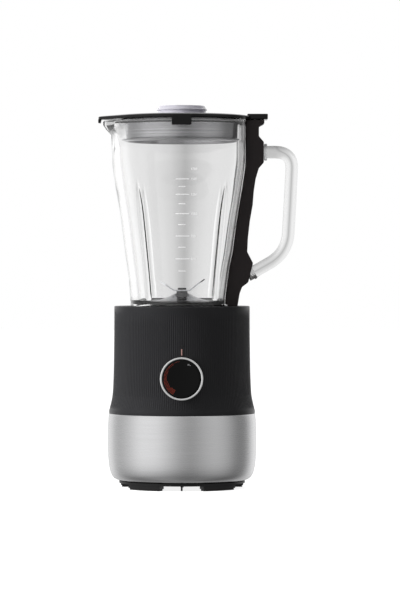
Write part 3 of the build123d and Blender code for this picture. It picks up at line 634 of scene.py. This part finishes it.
def glass_handle():
    """Solid glass handle with a flat collar at each root."""
    path = rounded(HANDLE_TOP, 27, 14)[:-1] + rounded(HANDLE_LOW, 46, 14)
    bm = bmesh.new()
    swept(bm, path, 8.6, 7.1)
    piece(bm, "glass_handle", "jug", FINISH["handle"], 50)
    for name, start, along in (("handle_collar_top", Vector(COLLAR_TOP), path[1] - path[0]),
                               ("handle_collar_low", Vector(COLLAR_LOW), path[-2] - path[-1])):
        bm = bmesh.new()
        swept(bm, [start, start + along.normalized() * COLLAR_THICK], 9.7, 9.5)
        soften(piece(bm, name, "jug", FINISH["handle"], 50), 0.8)


INK_LIFT = 0.12


def wall_point(x, height):
    """Place just off the front of the glass at a distance from its middle."""
    radius = level(WALL_OUT, height) + INK_LIFT
    return Vector((x * MM, -math.sqrt(radius * radius - x * x) * MM, height * MM))


NUMBER_X = 10.0
NUMBER_SIZE = 3.6
LINE_HALF = 0.32
LONG_HALF = 7.6
SHORT_HALF = 4.0
TOP_NUMBER = (357.4, "1750")
LONG_MARKS = ((346.3, "1500"), (329.4, "1250"), (308.0, "1000"), (283.3, "750"), (258.0, "500"))
SHORT_MARKS = (338.0, 319.0, 296.0, 271.0, 244.5)


def jug_scale():
    """Printed volume scale on the front of the jug: long and short lines with plain numbers."""
    bm = bmesh.new()
    lines = [(height, LONG_HALF, 0.8) for height, _ in LONG_MARKS]
    lines += [(height, SHORT_HALF, 0.3) for height in SHORT_MARKS]
    for height, half, shift in lines:
        matrix = Matrix.Translation((shift * MM, 0, height * MM)) @ Matrix.Rotation(math.pi / 2, 4, "X")
        made = bmesh.ops.create_grid(bm, x_segments=8, y_segments=1, size=1.0)
        bmesh.ops.scale(bm, vec=(half * MM, LINE_HALF * MM, 1), verts=made["verts"])
        bmesh.ops.transform(bm, matrix=matrix, verts=made["verts"])
    for height, number in (*LONG_MARKS, TOP_NUMBER):
        text = bpy.data.curves.new(number, "FONT")
        text.body = number
        text.size = NUMBER_SIZE * MM
        holder = bpy.data.objects.new(number, text)
        mesh = bpy.data.meshes.new_from_object(holder)
        mesh.transform(Matrix.Translation((NUMBER_X * MM, 0, (height - 1.2) * MM))
                       @ Matrix.Rotation(math.pi / 2, 4, "X"))
        bm.from_mesh(mesh)
        bpy.data.objects.remove(holder)
        bpy.data.meshes.remove(mesh)
    for vert in bm.verts:
        vert.co = wall_point(vert.co.x / MM, vert.co.z / MM)
    piece(bm, "jug_scale_print", "jug", FINISH["ink"], 35, recalc=False)


# ---- blade unit -------------------------------------------------------------------------------------
HUB_R = 6.6
CUP_R = 36.0
CUP_BOTTOM = 204.0
NUT_R = 5.4
NUT_THICK = 1.8
NUT_MIDDLE = 223.6


def blade_seat():
    """Steel cup that closes the neck under the blades, and the low nut that holds them."""
    bm = bmesh.new()
    slope = flowing([(33.4, 208.9), (27, 210.4), (18, 213.4), (11, 216.8), (HUB_R, 218.4)], 5)
    turned(bm, rounded([(HUB_R, CUP_BOTTOM), (CUP_R, CUP_BOTTOM), (CUP_R, 207.6), *slope, (HUB_R, CUP_BOTTOM)],
                       0.8, 3), 128)
    piece(bm, "steel_blade_cup", "blade_unit", FINISH["cup"], 40, ["blade_dome"])
    bm = bmesh.new()
    bmesh.ops.create_cone(bm, cap_ends=True, segments=6, radius1=NUT_R * MM, radius2=NUT_R * MM,
                          depth=NUT_THICK * MM, matrix=Matrix.Translation((0, 0, NUT_MIDDLE * MM)))
    soften(piece(bm, "blade_lock_nut", "blades", FINISH["nut"], 30, ["blade_nut"]), 0.4)


# ---- interlock strip -------------------------------------------------------------------------------
STRIP_INNER = [(51.2, 196), (51.2, 206.4), (48.6, 206.4), (49.0, 216), (53.6, 250), (57.1, 266), (61.6, 300),
               (64.8, 320), (68.3, 340), (71.6, 364), (71.6, 414.6)]
STRIP_OUTER = [(92.7, 414.6), (92.7, 410.4), (86.6, 407), (86.6, 396), (92.1, 389.7), (92.1, 366.6),
               (86.6, 360.4), (82.9, 348), (80.8, 334), (79.6, 319), (76.3, 300), (74.2, 281), (73.5, 266),
               (80.0, 253.4), (74.6, 231.7), (67.6, 226.4), (64.9, 219), (62.6, 205), (61.8, 196)]
PARTING_GAP = 0.06


def strip():
    """Two moulded halves that meet on a fine parting line."""
    half = STRIP_HIGH.y - STRIP_LOW.y
    for name, y0, y1, node in (("strip_half_front", -half, -PARTING_GAP, "strip_front"),
                               ("strip_half_rear", PARTING_GAP, half, "strip_rear")):
        bm = bmesh.new()
        slab(bm, STRIP_INNER + STRIP_OUTER, y0, y1)
        made = piece(bm, name, "jug", FINISH["strip"], 35, [node])
        soften(made, 0.9, 3, 30)


# ---- lid -------------------------------------------------------------------------------------------
LID_R = 79.0
LID_EDGE = 418.2
LID_CROWN = 420.5
LID_UNDER = 415.0
SPOUT_COVER_R = 11.4
TAB_HALF = 10.9
CAP_HOLE = 27.8


def lid_cover():
    """Gloss black cover with a spout cover, a front tab and a block over the strip."""
    bm = bmesh.new()
    top = flowing([(LID_R - 1.5, 418.8), (70, 419.8), (56, 420.2), (40, 420.4), (CAP_HOLE + 1, LID_CROWN)], 4)
    turned(bm, rounded([(CAP_HOLE, LID_UNDER), (LID_R, LID_UNDER), (LID_R, LID_EDGE), *top,
                        (CAP_HOLE, LID_CROWN), (CAP_HOLE, LID_UNDER)], 0.8, 3), 256)
    for vert in bm.verts:
        angle = math.degrees(math.atan2(vert.co.y, vert.co.x)) % 360
        radius = math.hypot(vert.co.x, vert.co.y) / MM
        if radius > 60:
            wide = spout_radius(angle, LID_R, -LID_LOW.x, SPOUT_COVER_R) / LID_R
            share = ease((radius - 60) / (LID_R - 60))
            factor = 1 + (wide - 1) * share
            vert.co.x *= factor
            vert.co.y *= factor
    piece(bm, "lid_disc", "lid", FINISH["lid"], 40, ["lid_cover"])
    tab = [(-TAB_HALF, LID_LOW.z), (TAB_HALF, LID_LOW.z), (TAB_HALF, LID_EDGE), (-TAB_HALF, LID_EDGE)]
    block = [(73.5, LID_UNDER), (LID_HIGH.x, LID_UNDER), (LID_HIGH.x, 421.2), (73.5, 421.2)]
    lip = [(LID_LOW.x, 411.3), (-91.6, 411.0), (-90.6, 415.4), (LID_LOW.x, 415.4)]
    for name, outline, y0, y1, edge in (("lid_front_tab", tab, -82.4, -79.3, 0.8),
                                        ("lid_handle_block", block, -15.8, 15.8, 1.0),
                                        ("lid_spout_lip", lip, -7, 7, 0.6)):
        bm = bmesh.new()
        slab(bm, outline, y0, y1)
        soften(piece(bm, name, "lid", FINISH["lid"], 40), edge)


def lid_plug():
    """Cup that fills the jug's mouth, with a thin flared lip at its foot and its sealing ring, whose dark grey
    is also painted shade for the gap under it; above the ring a pale lip is painted light for the light band
    the glass rim shows.
    """
    outer = [(30, 414.9), (64.6, 414.9), (64.2, 411), (63.6, 406), (63.4, 405.4), (63.6, 404.8), (62.9, 393.4)]
    flare = [(67.6, 392.2), (67.6, 391.2), (62.4, 389.6)]
    inner = [(61.0, 390), (61.8, 412.8), (30, 412.8), (30, 396), (28, 396), (28, 414.9), (30, 414.9)]
    bm = bmesh.new()
    turned(bm, rounded(outer + flare + inner, 0.6, 3), 192)
    flatten_side(bm, 61.6, 60.2)
    piece(bm, "smoked_lid_plug", "lid", FINISH["plug"], 30, ["lid_plug"])
    for name, low, high, radius, finish, replaced in (
            # sealing ring: a real seal whose dark grey also paints the shadow gap under the lip
            ("lid_sealing_ring", 409.9, 411.1, 68.8, "seal", ["lid_seal"]),
            # pale lip: painted light for the rim's light band
            ("lid_lip_painted_rim_light", 411.2, 413.3, 69.4, "pale_lip_painted_light", ())):
        bm = bmesh.new()
        turned(bm, rounded([(64.4, low), (radius, low), (radius, high), (64.4, high), (64.4, low)], 0.5, 3),
               192)
        flatten_side(bm, radius - 4.2, radius - 6)
        piece(bm, name, "lid", FINISH[finish], 40, replaced)


def flatten_side(bm, outer, inner):
    """Presses the handle's side of a turned shape flat, as the jug's is."""
    for vert in bm.verts:
        radius = math.hypot(vert.co.x, vert.co.y) / MM
        if radius > 50:
            vert.co.x = soft_limit(vert.co.x / MM, outer if radius > 62.2 else inner) * MM


def measuring_cap():
    """Cup in the middle of the lid, with a flange that rests on it and a lip to lift it by."""
    top = CAP_HIGH.z
    lip = [(27.2, top - 3.3), (28.3, top - 3.9), (28.3, top - 5.2), (27, top - 5.4)]
    flange = [(27, 421.6), (30, 421.6), (30, 420.6), (27, LID_CROWN)]
    skirt = [(26.8, CAP_LOW.z), (25.0, CAP_LOW.z), (25.2, top - 2.2), (0, top - 2.2)]
    bm = bmesh.new()
    turned(bm, rounded([(0, top), (25.6, top), *lip, *flange, *skirt], 0.5, 4), 160)
    piece(bm, "measuring_cup_cap", "cap", FINISH["cap"], 40, ["measuring_cap"])


# ---- studio ----------------------------------------------------------------------------------------
def floor():
    """Plain pale floor, lit so that it meets the white surround without a line."""
    bm = bmesh.new()
    bmesh.ops.create_grid(bm, x_segments=1, y_segments=1, size=9)
    mesh = bpy.data.meshes.new("floor")
    bm.to_mesh(mesh)
    bm.free()
    made = bpy.data.objects.new("floor", mesh)
    bpy.context.scene.collection.objects.link(made)
    finish, _, shader = new_finish("pale_floor", "#f4f4f4", 0.9)
    shader.inputs["Emission Color"].default_value = (1, 1, 1, 1)
    shader.inputs["Emission Strength"].default_value = 0.85
    mesh.materials.append(finish)
    made.visible_glossy = False
    made.visible_transmission = False
    made.visible_diffuse = False


def soft_light(name, place, aim, size, power):
    """A large soft lamp."""
    lamp = bpy.data.lights.new(name, "AREA")
    lamp.shape = "RECTANGLE"
    lamp.size, lamp.size_y = size
    lamp.energy = power
    made = bpy.data.objects.new(name, lamp)
    bpy.context.scene.collection.objects.link(made)
    made.location = place
    made.visible_glossy = False
    made.visible_transmission = False
    made.rotation_euler = (Vector(aim) - Vector(place)).to_track_quat("-Z", "Y").to_euler()


# How bright the surround is at each share of the way round it: 0 and 1 behind, 0.25 left, 0.5 in front
SKY = [(0.0, 0.5), (0.0015, 0.6), (0.0035, 0.69), (0.008, 0.76), (0.02, 0.85), (0.04, 1.05), (0.075, 1.15),
       (0.115, 1.1), (0.145, 0.75), (0.19, 0.62), (0.25, 0.85), (0.31, 1.22), (0.39, 1.17), (0.44, 0.9),
       (0.5, 0.54), (0.54, 0.43), (0.6, 0.66), (0.65, 0.76), (0.7, 0.64), (0.765, 0.28), (0.82, 0.3),
       (0.87, 0.9), (0.895, 1.2), (0.925, 1.2), (0.96, 1.05), (0.98, 0.85), (0.992, 0.76), (0.9965, 0.69),
       (0.9985, 0.6), (1.0, 0.5)]


def studio():
    """White surround with soft boxes and dark gaps between them, which the metal and glass show."""
    world = bpy.data.worlds.new("studio")
    bpy.context.scene.world = world
    world.use_nodes = True
    tree = world.node_tree
    background = tree.nodes["Background"]
    place = add_node(tree, "ShaderNodeTexCoord")
    axes = add_node(tree, "ShaderNodeSeparateXYZ", links={"Vector": place.outputs["Generated"]})
    back = add_node(tree, "ShaderNodeMath", {"operation": "MULTIPLY", 1: -1.0}, {0: axes.outputs["Y"]})
    around = add_node(tree, "ShaderNodeMath", {"operation": "ARCTAN2"},
                      {0: axes.outputs["X"], 1: back.outputs[0]})
    share = add_node(tree, "ShaderNodeMapRange", {"From Min": -math.pi, "From Max": math.pi},
                     {"Value": around.outputs[0]})
    ramp = add_node(tree, "ShaderNodeValToRGB", links={"Fac": share.outputs["Result"]})
    for position, _ in SKY[1:-1]:
        ramp.color_ramp.elements.new(position)
    for element, (position, value) in zip(ramp.color_ramp.elements, SKY):
        element.position = position
        element.color = (value, value, value, 1)
    above = add_node(tree, "ShaderNodeMapRange", {"From Min": 0.55, "From Max": 0.85},
                     {"Value": axes.outputs["Z"]})
    lit = add_node(tree, "ShaderNodeMix", {"data_type": "RGBA", 7: (0.9, 0.9, 0.9, 1)},
                   {"Factor": above.outputs["Result"], 6: ramp.outputs["Color"]})
    below = add_node(tree, "ShaderNodeMapRange", {"From Min": -0.15, "From Max": -0.7, "To Max": 0.75},
                     {"Value": axes.outputs["Z"]})
    shaded = add_node(tree, "ShaderNodeMix", {"data_type": "RGBA", 7: (0.12, 0.12, 0.12, 1)},
                      {"Factor": below.outputs["Result"], 6: lit.outputs[2]})
    seen = add_node(tree, "ShaderNodeLightPath")
    dim = add_node(tree, "ShaderNodeMix", {"data_type": "RGBA", 7: (0.2, 0.2, 0.2, 1)},
                   {"Factor": seen.outputs["Is Diffuse Ray"], 6: shaded.outputs[2]})
    plain = add_node(tree, "ShaderNodeMix", {"data_type": "RGBA", 7: (1, 1, 1, 1)},
                     {"Factor": seen.outputs["Is Camera Ray"], 6: dim.outputs[2]})
    tree.links.new(plain.outputs[2], background.inputs["Color"])
    soft_light("key_left", (-2.45, -0.85, 0.9), (0, 0, 0.2), (1.2, 1.4), 72)
    soft_light("top", (0, 0, 2.2), (0, 0, 0), (2.0, 2.0), 12)


CAMERA_PLACE = (0.0203, -3.62, 0.249)
CAMERA_TILT = 89.41
FOCAL_LENGTH = 192.4


def camera():
    """Long lens straight in front, tilted down a little; colours are shown as they are."""
    lens = bpy.data.cameras.new("camera")
    lens.lens = FOCAL_LENGTH
    lens.sensor_width = 36
    lens.clip_end = 50
    made = bpy.data.objects.new("camera", lens)
    bpy.context.scene.collection.objects.link(made)
    made.location = CAMERA_PLACE
    made.rotation_euler = (math.radians(CAMERA_TILT), 0, 0)
    bpy.context.scene.camera = made
    bpy.context.scene.view_settings.view_transform = "Standard"


camera()
studio()
floor()
dress_cad_nodes()
motor_housing()
steel_band()
knob()
jug_glass()
glass_handle()
jug_scale()
blade_seat()
strip()
lid_cover()
lid_plug()
measuring_cap()
